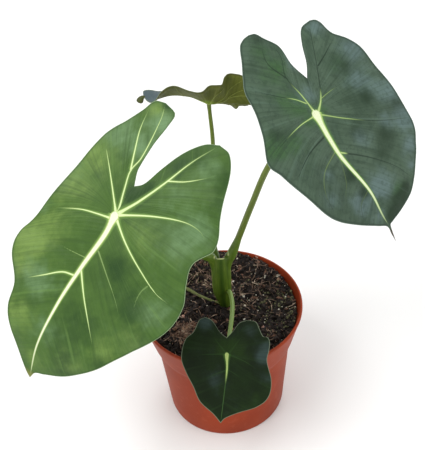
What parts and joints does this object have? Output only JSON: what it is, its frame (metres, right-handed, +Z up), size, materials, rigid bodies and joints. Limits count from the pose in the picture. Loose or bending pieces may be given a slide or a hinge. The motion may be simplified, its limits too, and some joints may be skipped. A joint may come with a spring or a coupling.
{
  "type": "potted_alocasia_micholitziana",
  "caption": "Potted alocasia micholitziana: velvety arrow-shaped leaves with pale veins on olive stalks rising from a sheathed crown, in dark soil in a terracotta-coloured nursery pot.",
  "frame": {"origin": "centre of the pot's underside, on the ground", "axes": "+Z up out of the pot, front of the plant as pictured towards -Y, +X to the right seen from the front"},
  "size_m": [0.2633, 0.1624, 0.3123],
  "materials": {
    "pot_plastic": "moulded terracotta-coloured plastic, slightly satin",
    "potting_soil": "damp dark peat and bark crumbs with pale fibres and perlite",
    "green_stalk": "fleshy olive green stalk, faintly streaked, satin",
    "pale_stalk": "fleshy pale green stalk, satin",
    "dried_stalk": "withered straw green stalk, matt",
    "leaf_left": "velvety mid green blade with pale veins",
    "leaf_right": "velvety dark blue-green blade with pale veins",
    "leaf_back": "olive underside with raised veins",
    "leaf_front": "velvety very dark green blade with a pale rim"
  },
  "bodies": {
    "root": {"pot": "pot_plastic", "soil": "potting_soil", "crown": "green_stalk", "old_stalk": "dried_stalk", "petiole_left": "green_stalk", "petiole_right": "green_stalk", "petiole_back": "green_stalk", "petiole_front": "pale_stalk", "blade_left": "leaf_left", "blade_right": "leaf_right", "blade_back": "leaf_back", "blade_front": "leaf_front"}
  },
  "joints": []
}
